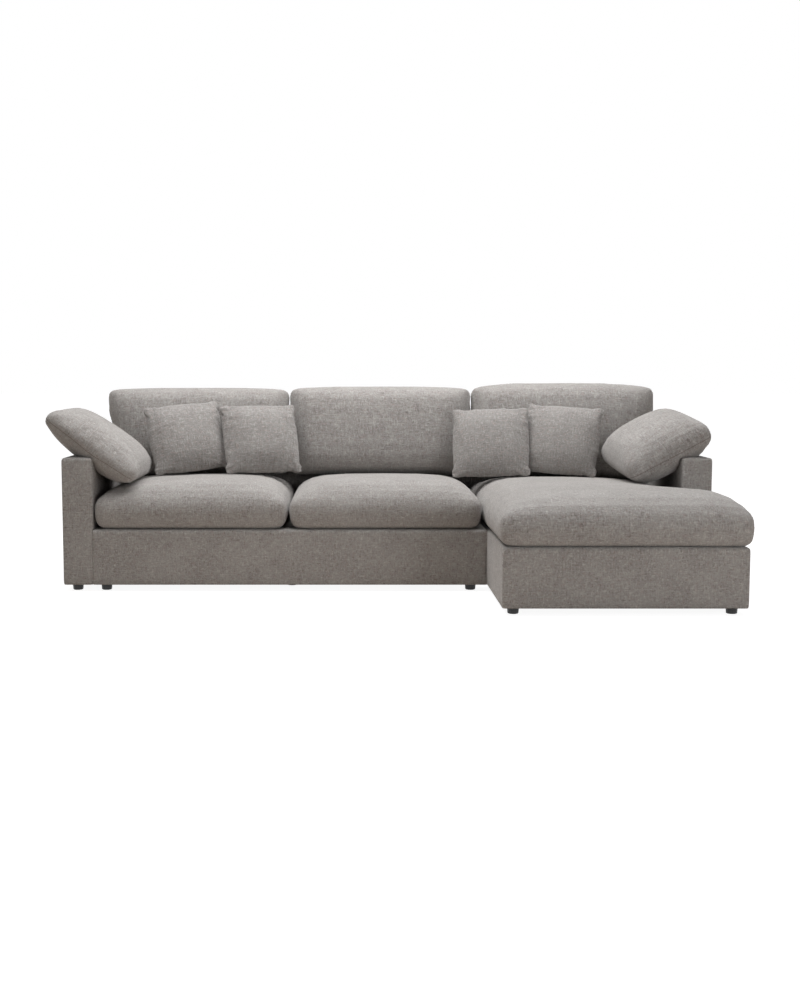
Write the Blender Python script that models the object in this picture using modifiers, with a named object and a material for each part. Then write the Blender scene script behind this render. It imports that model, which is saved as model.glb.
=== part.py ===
"""Corner sofa with a chaise on its right: platforms, arm and back panels, and loose cushions.

Lengths are metres. +X is the right of someone who faces the sofa, the sofa faces -Y, and +Z is up. The
origin is on the floor under the middle of the whole sofa's box.
"""

from math import copysign, hypot, radians

import bmesh
import bpy
from mathutils import Matrix, Vector
from mathutils.bvhtree import BVHTree

# Overall sizes
SPAN = 2.90  # over both arms
SOFA_DEPTH = 1.02  # from the arms' front to the rear of the back panels
CHAISE_AHEAD = 0.60  # chaise front ahead of the arms' front
CHAISE_WIDTH = 0.994
CHAISE_INSET = 0.003  # chaise side behind the right arm's outer face
PANEL_THICKNESS = 0.13  # arms and backs
PANEL_TOP = 0.60
PLATFORM_TOP = 0.277
FOOT_HEIGHT = 0.03
TOUCH = 0.0003  # between pieces that lie against each other

# How far the cushions reach past the frame, which sets the middle of the sofa's box
LEFT_BOLSTER_OVERHANG = 0.085
RIGHT_BOLSTER_OVERHANG = 0.025
CHAISE_NOSE = 0.02
SEAT_NOSE = 0.012

# Planes of the frame
MIDDLE = (LEFT_BOLSTER_OVERHANG - RIGHT_BOLSTER_OVERHANG) / 2
LEFT = MIDDLE - SPAN / 2
RIGHT = MIDDLE + SPAN / 2
INNER_LEFT = LEFT + PANEL_THICKNESS
INNER_RIGHT = RIGHT - PANEL_THICKNESS
BACK = (SOFA_DEPTH + CHAISE_AHEAD + CHAISE_NOSE) / 2
INNER_BACK = BACK - PANEL_THICKNESS
FRONT = BACK - SOFA_DEPTH
CHAISE_FRONT = FRONT - CHAISE_AHEAD
CHAISE_RIGHT = RIGHT - CHAISE_INSET
CHAISE_LEFT = CHAISE_RIGHT - CHAISE_WIDTH

# Upholstery covers: cloth over thin foam
COVER_WALL = 0.010
COVER_EDGE = 0.016
COVER_EDGE_STEPS = 2
DECK_BORDER = 0.10  # covered border round the deck cloth
DECK_CLOTH = 0.002
DUST_CLOTH = 0.0015

# Timber
RAIL = 0.022  # thickness of the platform boards
BATTEN_WIDTH = 0.095
BATTEN_HEIGHT = 0.028
PANEL_BAR = 0.035
SPRING_ROOM = 0.04  # the inner boards end this far below the deck

# Sinuous springs
WIRE_RADIUS = 0.0019
SPRING_PITCH = 0.185
SPRING_HALF_WIDTH = 0.024
SPRING_LOOP = 0.095  # advance of one half wave
SPRING_SLANT = 0.022
SPRING_ARCH = 0.006
CLIP_STRIP_THICKNESS = 0.003
CLIP_STRIP_HEIGHT = 0.018
CLIP_STRIP_DROP = 0.003
TIE_SHARES = (0.3, 0.7)  # where the tie wires cross, along the springs

# Feet
FOOT_RADIUS = 0.025
FOOT_TAPER = 0.002
FOOT_CHAMFER = 0.003
FOOT_SIDES = 12
FOOT_INSET = 0.07  # foot centre from the platform's front and rear, and from the other platform
FOOT_SIDE_INSET = 0.05  # foot centre from a side that stands free
ARM_FOOT_INSET = 0.07
CENTRE_FOOT_INSET = 0.20

# Steel plates that hold the two platforms together
PLATE_LENGTH = 0.12
PLATE_WIDTH = 0.045
PLATE_THICKNESS = 0.0025
PLATE_HOLE_RADIUS = 0.0035
PLATE_HOLE_SIDES = 8
PLATE_HOLE_INSET = 0.012
PLATE_INSET = 0.16  # plate centre from the front and the back of the seat platform

# Cushions: sizes as they lie in use
SEAT_THICKNESS = 0.222
SEAT_SHOULDER = 0.25
SEAT_LOADED_SHOULDER = 0.42  # beside an arm, under its bolster
SEAT_FRONT_SHOULDER = 0.24
SEAT_REAR_SHOULDER = 0.56
SEAT_BULGE = 0.016
CHAISE_SIDE_SHOULDER = 0.16  # along the side that stands free
CHAISE_SIDE_CELL = 0.05
CUSHION_GAP = 0.0015  # between cushions side by side
CUSHION_REST = 0.0009  # left under and behind a cushion that leans or lies on curved ones
BACK_REST = 0.0022  # left under a back cushion
LEAN_EASE = 0.003  # left behind a throw pillow

BACK_THICKNESS = 0.25
BACK_SHOULDER = 0.17
BACK_BULGE = 0.014
BACK_LEAN = radians(13)
LEFT_BACK_FLARE = 0.072  # the outer sides of the end cushions spread over the arms towards the top
RIGHT_BACK_FLARE = 0.056
LEFT_JOINT_SHIFT = 0.028  # the left joint lies this far left of the seats' joint
RIGHT_JOINT_SHIFT = 0.014  # the right one lies this far right of its seats' joint
LEFT_BACK_HEIGHT = 0.444
CENTRE_BACK_HEIGHT = 0.453
RIGHT_BACK_HEIGHT = 0.488
LEFT_BACK_CREST = 0.015  # middle of the top above its corners
CENTRE_BACK_CREST = 0.016
RIGHT_BACK_CREST = 0.036

LEFT_BOLSTER_LENGTH = 0.488
RIGHT_BOLSTER_LENGTH = 0.422
BOLSTER_WIDTH = 0.54
LEFT_BOLSTER_THICKNESS = 0.203
RIGHT_BOLSTER_THICKNESS = 0.258
BOLSTER_SHOULDER = 0.22
LEFT_BOLSTER_TIP_SHOULDER = 0.29  # over the arm
RIGHT_BOLSTER_TIP_SHOULDER = 0.21
BOLSTER_FOOT_SHOULDER = 0.17  # on the seat
BOLSTER_BULGE = 0.012
LEFT_BOLSTER_LEAN = radians(36)
RIGHT_BOLSTER_LEAN = radians(28)
RIGHT_BOLSTER_TIP = radians(6)  # its rear end lies higher
LEFT_BOLSTER_SHIFT = 0.003  # centre outside the arm's inner face
RIGHT_BOLSTER_SHIFT = 0.068  # centre inside the arm's inner face
ARM_DENT = 0.001  # clearance round the arm, where it presses into a bolster

PILLOW_SIDE = 0.388
PILLOW_THICKNESS = 0.15
PILLOW_EDGE = 0.012
PILLOW_PINCH = 0.021
PILLOW_EAR = 0.018
PILLOW_LEAN = radians(30)

# Shapes shared by the cushions
CAGE_CELLS = 5
CAGE_CROWDING = 0.62  # below one, the cage's lines crowd towards the edges
BOXY_CROWDING = 0.40  # the same for seat and back cushions, whose corners are tighter
BOX_POWER = 2.6
BOX_EASE = 0.6
PILLOW_POWER = 2.0
SEAT_SEAM_SHARE = 0.62
SEAT_WIDEST_SHARE = 0.6  # of the band's height
WIDEST_SHARE = 0.5
SPREAD_START = -0.12  # where a widened side leaves the straight one, from -1 below to 1 above
SPREAD_END = 0.28
BACK_SEAM_SHARE = 0.48
BOLSTER_SEAM_SHARE = 0.34
SEAT_FACE_SHARES = (1.0, 0.0)  # crown above and below the seam band
BACK_FACE_SHARES = (0.7, 0.3)
EVEN_FACE_SHARES = (0.5, 0.5)
LOOK_AHEAD = 1.0  # farthest that a cushion is moved to its seat
SETTLING_ROUNDS = 4
RETREAT = 0.05  # how far a cushion is drawn forward before its first drop
RETREAT_SHARE = 0.2  # each later retreat, of the one before


def clear_scene():
    for obj in list(bpy.data.objects):
        bpy.data.objects.remove(obj, do_unlink=True)


def new_collection(name):
    collection = bpy.data.collections.new(name)
    bpy.context.scene.collection.children.link(collection)
    return collection


def new_material(name, colour, roughness, metallic=0.0):
    material = bpy.data.materials.new(name)
    material.use_nodes = True
    shader = material.node_tree.nodes["Principled BSDF"]
    shader.inputs["Base Color"].default_value = (*colour, 1)
    shader.inputs["Roughness"].default_value = roughness
    shader.inputs["Metallic"].default_value = metallic
    return material


clear_scene()
PARTS = new_collection("corner_sofa")
CUTTERS = new_collection("corner_sofa_cutters")
UPHOLSTERY = new_material("upholstery", (0.27, 0.255, 0.235), 0.9)
DECK = new_material("deck_cloth", (0.20, 0.19, 0.18), 0.9)
DUST = new_material("dust_cloth", (0.015, 0.015, 0.015), 0.95)
TIMBER = new_material("timber", (0.52, 0.36, 0.20), 0.65)
STEEL = new_material("spring_steel", (0.42, 0.42, 0.43), 0.4, 0.9)
FOOT_PLASTIC = new_material("foot_plastic", (0.02, 0.02, 0.02), 0.6)


def add_object(name, data, material, collection=PARTS):
    obj = bpy.data.objects.new(name, data)
    data.materials.append(material)
    collection.objects.link(obj)
    return obj


def mesh_object(name, bm, material, collection=PARTS):
    bmesh.ops.recalc_face_normals(bm, faces=bm.faces)
    mesh = bpy.data.meshes.new(name)
    bm.to_mesh(mesh)
    bm.free()
    return add_object(name, mesh, material, collection)


def as_cutter(obj):
    obj.hide_render = True
    obj.display_type = "WIRE"
    return obj


def box(name, low, high, material, collection=PARTS):
    """A plain box between two opposite corners."""
    low, high = Vector(low), Vector(high)
    bm = bmesh.new()
    bmesh.ops.create_cube(bm, size=1)
    bmesh.ops.scale(bm, vec=high - low, verts=bm.verts)
    obj = mesh_object(name, bm, material, collection)
    obj.location = (low + high) / 2
    return obj


def sheet(x_lines, y_lines, notch=None):
    """A flat sheet of cells between the lines. The cells beyond both lines of the notch are left out."""
    bm = bmesh.new()
    columns = len(x_lines) - 1
    rows = len(y_lines) - 1
    bmesh.ops.create_grid(bm, x_segments=columns, y_segments=rows, size=0.5)
    for vert in bm.verts:
        column = round((vert.co.x + 0.5) * columns)
        row = round((vert.co.y + 0.5) * rows)
        vert.co = (x_lines[column], y_lines[row], 0)
    if notch:
        centres = {face: face.calc_center_median() for face in bm.faces}
        cut = [face for face, at in centres.items() if at.x > notch[0] and at.y > notch[1]]
        bmesh.ops.delete(bm, geom=cut, context="FACES")
    return bm


def raise_faces(bm, faces, height):
    """Pulls the faces up with walls under their rim, and returns the raised faces."""
    made = bmesh.ops.extrude_face_region(bm, geom=faces)["geom"]
    verts = [item for item in made if isinstance(item, bmesh.types.BMVert)]
    bmesh.ops.translate(bm, verts=verts, vec=(0, 0, height))
    return [item for item in made if isinstance(item, bmesh.types.BMFace)]


def cover(name, x_lines, y_lines, height, notch=None, border=None):
    """An upholstery cover, open below. With a border, its top is open inside that width."""
    bm = sheet(x_lines, y_lines, notch)
    below = list(bm.faces)
    top = raise_faces(bm, below, height)
    bmesh.ops.delete(bm, geom=[face for face in below if face.is_valid], context="FACES")
    if border:
        bmesh.ops.inset_region(bm, faces=top, thickness=border, use_even_offset=True)
        bmesh.ops.delete(bm, geom=top, context="FACES")
    obj = mesh_object(name, bm, UPHOLSTERY)
    obj.location.z = FOOT_HEIGHT
    wall = obj.modifiers.new("wall", "SOLIDIFY")
    wall.thickness = COVER_WALL
    wall.offset = -1
    wall.use_even_offset = True
    wall.use_quality_normals = True
    wall.bevel_convex = 1
    rounded = obj.modifiers.new("rounded outside", "BEVEL")
    rounded.limit_method = "WEIGHT"
    rounded.width = COVER_EDGE
    rounded.segments = COVER_EDGE_STEPS
    return obj


def slab(name, x_lines, y_lines, bottom, height, material, notch=None):
    """A flat piece of even thickness."""
    bm = sheet(x_lines, y_lines, notch)
    raise_faces(bm, list(bm.faces), height)
    obj = mesh_object(name, bm, material)
    obj.location.z = bottom
    return obj


def rectangle(curve, low, high):
    spline = curve.splines.new("POLY")
    spline.points.add(3)
    corners = ((low[0], low[1]), (high[0], low[1]), (high[0], high[1]), (low[0], high[1]))
    for point, corner in zip(spline.points, corners):
        point.co = (*corner, 0, 1)
    spline.use_cyclic_u = True


def ladder_frame(name, length, height, thickness, bays):
    """A timber frame with uprights between its bars, drawn flat with its lower corner at the origin."""
    curve = bpy.data.curves.new(name, "CURVE")
    curve.dimensions = "2D"
    curve.fill_mode = "BOTH"
    curve.extrude = thickness / 2
    rectangle(curve, (0, 0), (length, height))
    pitch = (length - PANEL_BAR) / bays
    for bay in range(bays):
        start = bay * pitch + PANEL_BAR
        rectangle(curve, (start, PANEL_BAR), (start + pitch - PANEL_BAR, height - PANEL_BAR))
    return add_object(name, curve, TIMBER)


def tube(name, points, collection):
    """A wire through the points, as a mesh whose end caps are welded to it."""
    curve = bpy.data.curves.new(name, "CURVE")
    curve.dimensions = "3D"
    curve.bevel_depth = WIRE_RADIUS
    curve.bevel_resolution = 0
    curve.use_fill_caps = True
    spline = curve.splines.new("POLY")
    spline.points.add(len(points) - 1)
    for point, place in zip(spline.points, points):
        point.co = (*place, 1)
    drawn = bpy.data.objects.new(name, curve)
    collection.objects.link(drawn)
    bpy.context.view_layer.update()
    mesh = bpy.data.meshes.new_from_object(drawn.evaluated_get(bpy.context.evaluated_depsgraph_get()))
    bm = bmesh.new()
    bm.from_mesh(mesh)
    bmesh.ops.remove_doubles(bm, verts=bm.verts, dist=WIRE_RADIUS / 50)
    bm.to_mesh(mesh)
    bm.free()
    bpy.data.objects.remove(drawn)
    return add_object(name, mesh, STEEL, collection)


def foot(name, x, y):
    """A low turned foot that narrows a little towards the floor."""
    top = FOOT_HEIGHT - TOUCH
    low_radius = FOOT_RADIUS - FOOT_TAPER
    profile = (
        (0, top),
        (FOOT_RADIUS, top),
        (low_radius, FOOT_CHAMFER),
        (low_radius - FOOT_CHAMFER, 0),
        (0, 0),
    )
    mesh = bpy.data.meshes.new(name)
    edges = [(i, i + 1) for i in range(len(profile) - 1)]
    mesh.from_pydata([(radius, 0, z) for radius, z in profile], edges, [])
    obj = add_object(name, mesh, FOOT_PLASTIC)
    obj.location = (x, y, 0)
    turned = obj.modifiers.new("turned", "SCREW")
    turned.steps = FOOT_SIDES
    turned.render_steps = FOOT_SIDES
    turned.use_merge_vertices = True
    turned.merge_threshold = FOOT_CHAMFER / 60
    return obj


def spring_points(start, end, cross):
    """Points of one sinuous spring from start to end, which waves along the cross direction."""
    along = end - start
    length = along.length
    along.normalize()
    waves = max(2, round(length / SPRING_LOOP))
    advance = length / waves
    points = [start]
    for wave in range(waves):
        side = copysign(SPRING_HALF_WIDTH, 0.5 - wave % 2)
        middle = (wave + 0.5) * advance
        for reach in (middle - SPRING_SLANT, middle + SPRING_SLANT):
            arch = SPRING_ARCH * (1 - (2 * reach / length - 1) ** 2)
            points.append(start + along * reach + cross * side + Vector((0, 0, arch)))
    points.append(end)
    return points


def spring_deck(name, strips, springs, cross):
    """Clip strips, sinuous springs and tie wires, joined into one piece.

    strips lists each strip's corners. springs lists each spring's two ends. cross is the direction that the
    springs wave along, in which the tie wires run.
    """
    tools = new_collection(name + "_wires")
    tools.hide_render = True
    first, *others = strips
    deck = box(name, *first, STEEL)
    for number, corners in enumerate(others):
        as_cutter(box(f"{name}_strip_{number}", *corners, STEEL, tools))
    for number, (start, end) in enumerate(springs):
        as_cutter(tube(f"{name}_wire_{number}", spring_points(start, end, cross), tools))
    for number, share in enumerate(TIE_SHARES):
        crossings = [start.lerp(end, share) for start, end in springs]
        arch = Vector((0, 0, SPRING_ARCH * (1 - (2 * share - 1) ** 2)))
        reach = cross * 2 * SPRING_HALF_WIDTH
        ends = (crossings[0] - reach + arch, crossings[-1] + reach + arch)
        as_cutter(tube(f"{name}_tie_{number}", ends, tools))
    joined = deck.modifiers.new("joined", "BOOLEAN")
    joined.operation = "UNION"
    joined.operand_type = "COLLECTION"
    joined.collection = tools
    return deck


# Heights inside a platform, from the covers' bottom edge up
BOARD_BOTTOM = FOOT_HEIGHT + DUST_CLOTH + TOUCH
DECK_CLOTH_TOP = PLATFORM_TOP - COVER_WALL - TOUCH
BOARD_TOP = DECK_CLOTH_TOP - DECK_CLOTH - TOUCH
BATTEN_TOP = BOARD_BOTTOM + BATTEN_HEIGHT
SPRING_LEVEL = BOARD_TOP - CLIP_STRIP_DROP - CLIP_STRIP_HEIGHT / 2
LINING = COVER_WALL + TOUCH  # from a cover's outside to what lies inside it


def board(name, x_low, x_high, y_low, y_high, bottom=BOARD_BOTTOM, top=BOARD_TOP):
    return box(name, (x_low, y_low, bottom), (x_high, y_high, top), TIMBER)


def strip_corners(x_low, x_high, y_low, y_high):
    """Corners of a clip strip that stands on edge at the springs' level."""
    half = CLIP_STRIP_HEIGHT / 2
    return (x_low, y_low, SPRING_LEVEL - half), (x_high, y_high, SPRING_LEVEL + half)


def spaced(low, high, pitch):
    """Evenly spaced places between two ends, half a step clear of each, about one pitch apart."""
    count = max(2, round((high - low) / pitch))
    step = (high - low) / count
    return [low + (number + 0.5) * step for number in range(count)]


def arm(side, outer, inner):
    """An arm panel: its cover, the timber frame in it, and two feet."""
    low, high = min(outer, inner), max(outer, inner)
    cover(f"{side}_arm_cover", (low, high), (FRONT, BACK), PANEL_TOP - FOOT_HEIGHT)
    frame = ladder_frame(
        f"{side}_arm_frame",
        SOFA_DEPTH - 2 * LINING,
        PANEL_TOP - FOOT_HEIGHT - LINING,
        PANEL_THICKNESS - 2 * LINING,
        bays=4,
    )
    middle = (low + high) / 2
    stand = Matrix(((0, 0, 1, middle), (1, 0, 0, FRONT + LINING), (0, 1, 0, FOOT_HEIGHT), (0, 0, 0, 1)))
    frame.matrix_world = stand
    foot_place = outer + copysign(FOOT_SIDE_INSET, inner - outer)
    foot(f"{side}_arm_foot_front", foot_place, FRONT + ARM_FOOT_INSET)
    foot(f"{side}_arm_foot_rear", foot_place, BACK - ARM_FOOT_INSET)


def back_panel(name, low, high, bays):
    """A back panel between the arms: its cover and the timber frame in it."""
    panel = cover(f"{name}_cover", (low, high), (INNER_BACK, BACK), PANEL_TOP - FOOT_HEIGHT)
    frame = ladder_frame(
        f"{name}_frame",
        high - low - 2 * LINING,
        PANEL_TOP - FOOT_HEIGHT - LINING,
        PANEL_THICKNESS - 2 * LINING,
        bays,
    )
    place = Vector((low + LINING, (INNER_BACK + BACK) / 2, FOOT_HEIGHT))
    frame.matrix_world = Matrix.Translation(place) @ Matrix.Rotation(radians(90), 4, "X")
    return panel


def seat_platform():
    """The two-seat platform: cover, boards, battens, springs, deck cloth, dust cloth and feet."""
    left, right = INNER_LEFT + TOUCH, CHAISE_LEFT - TOUCH
    front, rear = FRONT, INNER_BACK - TOUCH
    height = PLATFORM_TOP - FOOT_HEIGHT
    cover("seat_platform_cover", (left, right), (front, rear), height, border=DECK_BORDER)

    x_low, x_high = left + LINING, right - LINING
    y_low, y_high = front + LINING, rear - LINING
    slab("seat_deck_cloth", (x_low, x_high), (y_low, y_high), DECK_CLOTH_TOP - DECK_CLOTH, DECK_CLOTH, DECK)
    slab("seat_dust_cloth", (x_low, x_high), (y_low, y_high), FOOT_HEIGHT, DUST_CLOTH, DUST)

    step = RAIL + TOUCH
    board("seat_front_board", x_low, x_high, y_low, y_low + RAIL)
    board("seat_rear_board", x_low, x_high, y_high - RAIL, y_high)
    board("seat_left_board", x_low, x_low + RAIL, y_low + step, y_high - step)
    board("seat_right_board", x_high - RAIL, x_high, y_low + step, y_high - step)

    batten_left, batten_right = x_low + step, x_high - step
    front_batten_end = y_low + step + BATTEN_WIDTH
    rear_batten_end = y_high - step - BATTEN_WIDTH
    board("seat_front_batten", batten_left, batten_right, y_low + step, front_batten_end, top=BATTEN_TOP)
    board("seat_rear_batten", batten_left, batten_right, rear_batten_end, y_high - step, top=BATTEN_TOP)
    middle = (x_low + x_high) / 2
    board(
        "seat_centre_board",
        middle - RAIL / 2,
        middle + RAIL / 2,
        front_batten_end + TOUCH,
        rear_batten_end - TOUCH,
        top=BOARD_TOP - SPRING_ROOM,
    )

    strip = CLIP_STRIP_THICKNESS
    y_front, y_rear = y_low + step, y_high - step
    clear = RAIL + SPRING_HALF_WIDTH
    places = spaced(x_low + clear, x_high - clear, SPRING_PITCH)
    strip_left, strip_right = x_low + step, x_high - step
    spring_deck(
        "seat_springs",
        [
            strip_corners(strip_left, strip_right, y_front, y_front + strip),
            strip_corners(strip_left, strip_right, y_rear - strip, y_rear),
        ],
        [
            (
                Vector((x, y_front + strip / 2, SPRING_LEVEL)),
                Vector((x, y_rear - strip / 2, SPRING_LEVEL)),
            )
            for x in places
        ],
        Vector((1, 0, 0)),
    )

    foot("seat_foot_front_left", left + FOOT_SIDE_INSET, front + FOOT_INSET)
    foot("seat_foot_front_centre", middle, front + CENTRE_FOOT_INSET)
    foot("seat_foot_front_right", right - FOOT_INSET, front + FOOT_INSET)
    foot("seat_foot_rear_left", left + FOOT_SIDE_INSET, rear - FOOT_INSET)
    foot("seat_foot_rear_centre", middle, rear - CENTRE_FOOT_INSET)
    foot("seat_foot_rear_right", right - FOOT_INSET, rear - FOOT_INSET)


def chaise_platform():
    """The chaise platform, which widens ahead of the right arm: the same pieces as the seat platform's."""
    left, right, neck = CHAISE_LEFT, CHAISE_RIGHT, INNER_RIGHT - TOUCH
    front, rear, shoulder = CHAISE_FRONT, INNER_BACK - TOUCH, FRONT - TOUCH
    height = PLATFORM_TOP - FOOT_HEIGHT
    x_lines, y_lines = (left, neck, right), (front, shoulder, rear)
    cover("chaise_platform_cover", x_lines, y_lines, height, (neck, shoulder), DECK_BORDER)

    x_low, x_neck, x_high = left + LINING, neck - LINING, right - LINING
    y_low, y_shoulder, y_high = front + LINING, shoulder - LINING, rear - LINING
    x_lines, y_lines, notch = (x_low, x_neck, x_high), (y_low, y_shoulder, y_high), (x_neck, y_shoulder)
    slab("chaise_deck_cloth", x_lines, y_lines, DECK_CLOTH_TOP - DECK_CLOTH, DECK_CLOTH, DECK, notch)
    slab("chaise_dust_cloth", x_lines, y_lines, FOOT_HEIGHT, DUST_CLOTH, DUST, notch)

    step = RAIL + TOUCH
    board("chaise_front_board", x_low, x_high, y_low, y_low + RAIL)
    board("chaise_rear_board", x_low, x_neck, y_high - RAIL, y_high)
    board("chaise_left_board", x_low, x_low + RAIL, y_low + step, y_high - step)
    board("chaise_right_board", x_high - RAIL, x_high, y_low + step, y_shoulder)
    board("chaise_neck_board", x_neck - RAIL, x_neck, y_shoulder - RAIL, y_high - step)
    board("chaise_shoulder_board", x_neck + TOUCH, x_high - step, y_shoulder - RAIL, y_shoulder)

    front_batten_end = y_low + step + BATTEN_WIDTH
    rear_batten_end = y_high - step - BATTEN_WIDTH
    board("chaise_front_batten", x_low + step, x_high - step, y_low + step, front_batten_end, top=BATTEN_TOP)
    board("chaise_rear_batten", x_low + step, x_neck - step, rear_batten_end, y_high - step, top=BATTEN_TOP)
    board(
        "chaise_cross_board",
        x_low + step,
        x_neck - step,
        y_shoulder - RAIL,
        y_shoulder,
        top=BOARD_TOP - SPRING_ROOM,
    )

    strip = CLIP_STRIP_THICKNESS
    x_left, x_right, x_narrow = x_low + step, x_high - step, x_neck - step
    y_front, y_turn, y_rear = y_low + step, y_shoulder - step, y_high - step
    clear = SPRING_HALF_WIDTH
    ends = [(y, x_right) for y in spaced(y_front + clear, y_turn - clear, SPRING_PITCH)]
    ends += [(y, x_narrow) for y in spaced(y_turn + clear, y_rear - clear, SPRING_PITCH)]
    spring_deck(
        "chaise_springs",
        [
            strip_corners(x_left, x_left + strip, y_front, y_rear),
            strip_corners(x_right - strip, x_right, y_front, y_turn),
            strip_corners(x_narrow - strip, x_narrow, y_turn + clear, y_rear),
        ],
        [
            (Vector((x_left + strip / 2, y, SPRING_LEVEL)), Vector((x_end - strip / 2, y, SPRING_LEVEL)))
            for y, x_end in ends
        ],
        Vector((0, 1, 0)),
    )

    foot("chaise_foot_front_left", left + FOOT_SIDE_INSET, front + FOOT_INSET)
    foot("chaise_foot_front_right", right - FOOT_SIDE_INSET, front + FOOT_INSET)
    foot("chaise_foot_rear_left", left + FOOT_INSET, rear - FOOT_INSET)
    foot("chaise_foot_rear_right", neck - FOOT_INSET, rear - FOOT_INSET)


def joining_plate(name, y):
    """A steel plate screwed across the joint of the two platforms, under their bottom edges."""
    top = FOOT_HEIGHT - TOUCH
    half = PLATE_LENGTH / 2
    low = (CHAISE_LEFT - half, y - PLATE_WIDTH / 2, top - PLATE_THICKNESS)
    high = (CHAISE_LEFT + half, y + PLATE_WIDTH / 2, top)
    plate = box(name, low, high, STEEL)
    holes = bmesh.new()
    for x_side in (-1, 1):
        for y_side in (-1, 1):
            x = x_side * (half - PLATE_HOLE_INSET)
            place = Matrix.Translation((x, y_side * (PLATE_WIDTH / 2 - PLATE_HOLE_INSET), 0))
            bmesh.ops.create_cone(
                holes,
                cap_ends=True,
                segments=PLATE_HOLE_SIDES,
                radius1=PLATE_HOLE_RADIUS,
                radius2=PLATE_HOLE_RADIUS,
                depth=2 * PLATE_THICKNESS,
                matrix=place,
            )
    cutter = as_cutter(mesh_object(name + "_holes", holes, STEEL, CUTTERS))
    cutter.location = plate.location
    drilled = plate.modifiers.new("drilled", "BOOLEAN")
    drilled.object = cutter


def crowded_lines(low, high, cells=CAGE_CELLS, crowding=CAGE_CROWDING):
    """Lines from low to high that lie closer together towards both ends."""
    middle, half = (low + high) / 2, (high - low) / 2
    shares = (2 * number / cells - 1 for number in range(cells + 1))
    return [middle + half * copysign(abs(share) ** crowding, share) for share in shares]


def evaluated_bounds(obj):
    """Lowest and highest local corner of the object with its modifiers."""
    bpy.context.view_layer.update()
    evaluated = obj.evaluated_get(bpy.context.evaluated_depsgraph_get())
    mesh = evaluated.to_mesh()
    columns = list(zip(*(vert.co for vert in mesh.vertices)))
    evaluated.to_mesh_clear()
    return Vector(map(min, columns)), Vector(map(max, columns))


def crown(x, y, low, high, shoulders, power, ease, notch):
    """Share of the full crown at a point: nothing at the outline, and one beyond the shoulders."""
    left, right, front, rear = shoulders
    right_edge = hypot(high[0] - x, max(0, y - notch[1])) if notch else high[0] - x
    rear_edge = hypot(high[1] - y, max(0, x - notch[0])) if notch else high[1] - y
    reaches = [(x - low[0], left), (right_edge, right), (y - low[1], front), (rear_edge, rear)]
    if notch:
        reaches.append((hypot(max(0, notch[0] - x), max(0, notch[1] - y)), SEAT_LOADED_SHOULDER))
    height = 1
    for distance, shoulder in reaches:
        height *= max(0, 1 - max(0, 1 - distance / shoulder) ** power) ** ease
    return height


def cushion(
    name,
    low,
    high,
    thickness,
    seam_share,
    face_shares,
    shoulders,
    power=BOX_POWER,
    ease=BOX_EASE,
    bulge=0,
    widest=WIDEST_SHARE,
    pinch=0,
    ear=0,
    crest=0,
    spread=(0, 0),
    crowding=CAGE_CROWDING,
    lines=None,
    notch=None,
):
    """A soft form over the outline from low to high, smoothed from a coarse cage, flat side down.

    A band of the seam's share of the thickness runs round it, swollen by the bulge at its widest. Its faces
    rise from the band over the shoulders, given for the left, right, front and rear. Pinch draws in the middle
    of each side, ear pushes out the corners, crest lifts the middle of the rear side, and spread widens the
    left and the right side beyond the middle. The result's box is exactly the outline by the thickness.
    """
    x_lines, y_lines = lines or (
        crowded_lines(low[0], high[0], crowding=crowding),
        crowded_lines(low[1], high[1], crowding=crowding),
    )
    bm = sheet(x_lines, y_lines, notch)
    lower = list(bm.faces)
    seam = seam_share * thickness
    upper = raise_faces(bm, lower, seam * (widest if bulge else 1))
    if bulge:
        middle = upper
        upper = raise_faces(bm, middle, seam * (1 - widest))
        bmesh.ops.delete(bm, geom=middle, context="FACES_ONLY")
    bmesh.ops.recalc_face_normals(bm, faces=bm.faces)
    bm.normal_update()

    half = [(high[axis] - low[axis]) / 2 for axis in (0, 1)]
    swell = thickness - seam
    for vert in bm.verts:
        x, y, z = vert.co
        rise = swell * crown(x, y, low, high, shoulders, power, ease, notch)
        u = (x - low[0]) / half[0] - 1
        v = (y - low[1]) / half[1] - 1
        corner = ear * abs(u * v) ** 6
        wider = spread[u > 0] * min(1, max(0, (v - SPREAD_START) / (SPREAD_END - SPREAD_START))) * abs(u)
        vert.co.x += copysign(corner + wider - pinch * (1 - v * v) * abs(u) ** 3, u)
        vert.co.y += copysign(corner - pinch * (1 - u * u) * abs(v) ** 3, v)
        vert.co.y += crest * (1 - u * u) * max(0, v)
        if abs(z / seam - 0.5) > 0.25:
            inward = Vector((vert.normal.x, vert.normal.y, 0))
            vert.co -= inward * bulge
            vert.co.z = seam + face_shares[0] * rise if z else -face_shares[1] * rise

    obj = mesh_object(name, bm, UPHOLSTERY)
    obj.data.shade_smooth()
    smooth = obj.modifiers.new("soft", "SUBSURF")
    smooth.levels = 1
    smooth.render_levels = 1
    fit_to_box(obj, low, high, thickness)
    return obj


def fit_to_box(obj, low, high, thickness):
    """Scales the cage so that the smoothed form's box is the outline by the thickness, from zero up."""
    found_low, found_high = evaluated_bounds(obj)
    wanted = Vector((high[0] - low[0], high[1] - low[1], thickness))
    scale = [size / (top - bottom) for size, bottom, top in zip(wanted, found_low, found_high)]
    start = Vector((low[0], low[1], 0))
    for vert in obj.data.vertices:
        vert.co = start + Vector([(co - least) * by for co, least, by in zip(vert.co, found_low, scale)])


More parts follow.
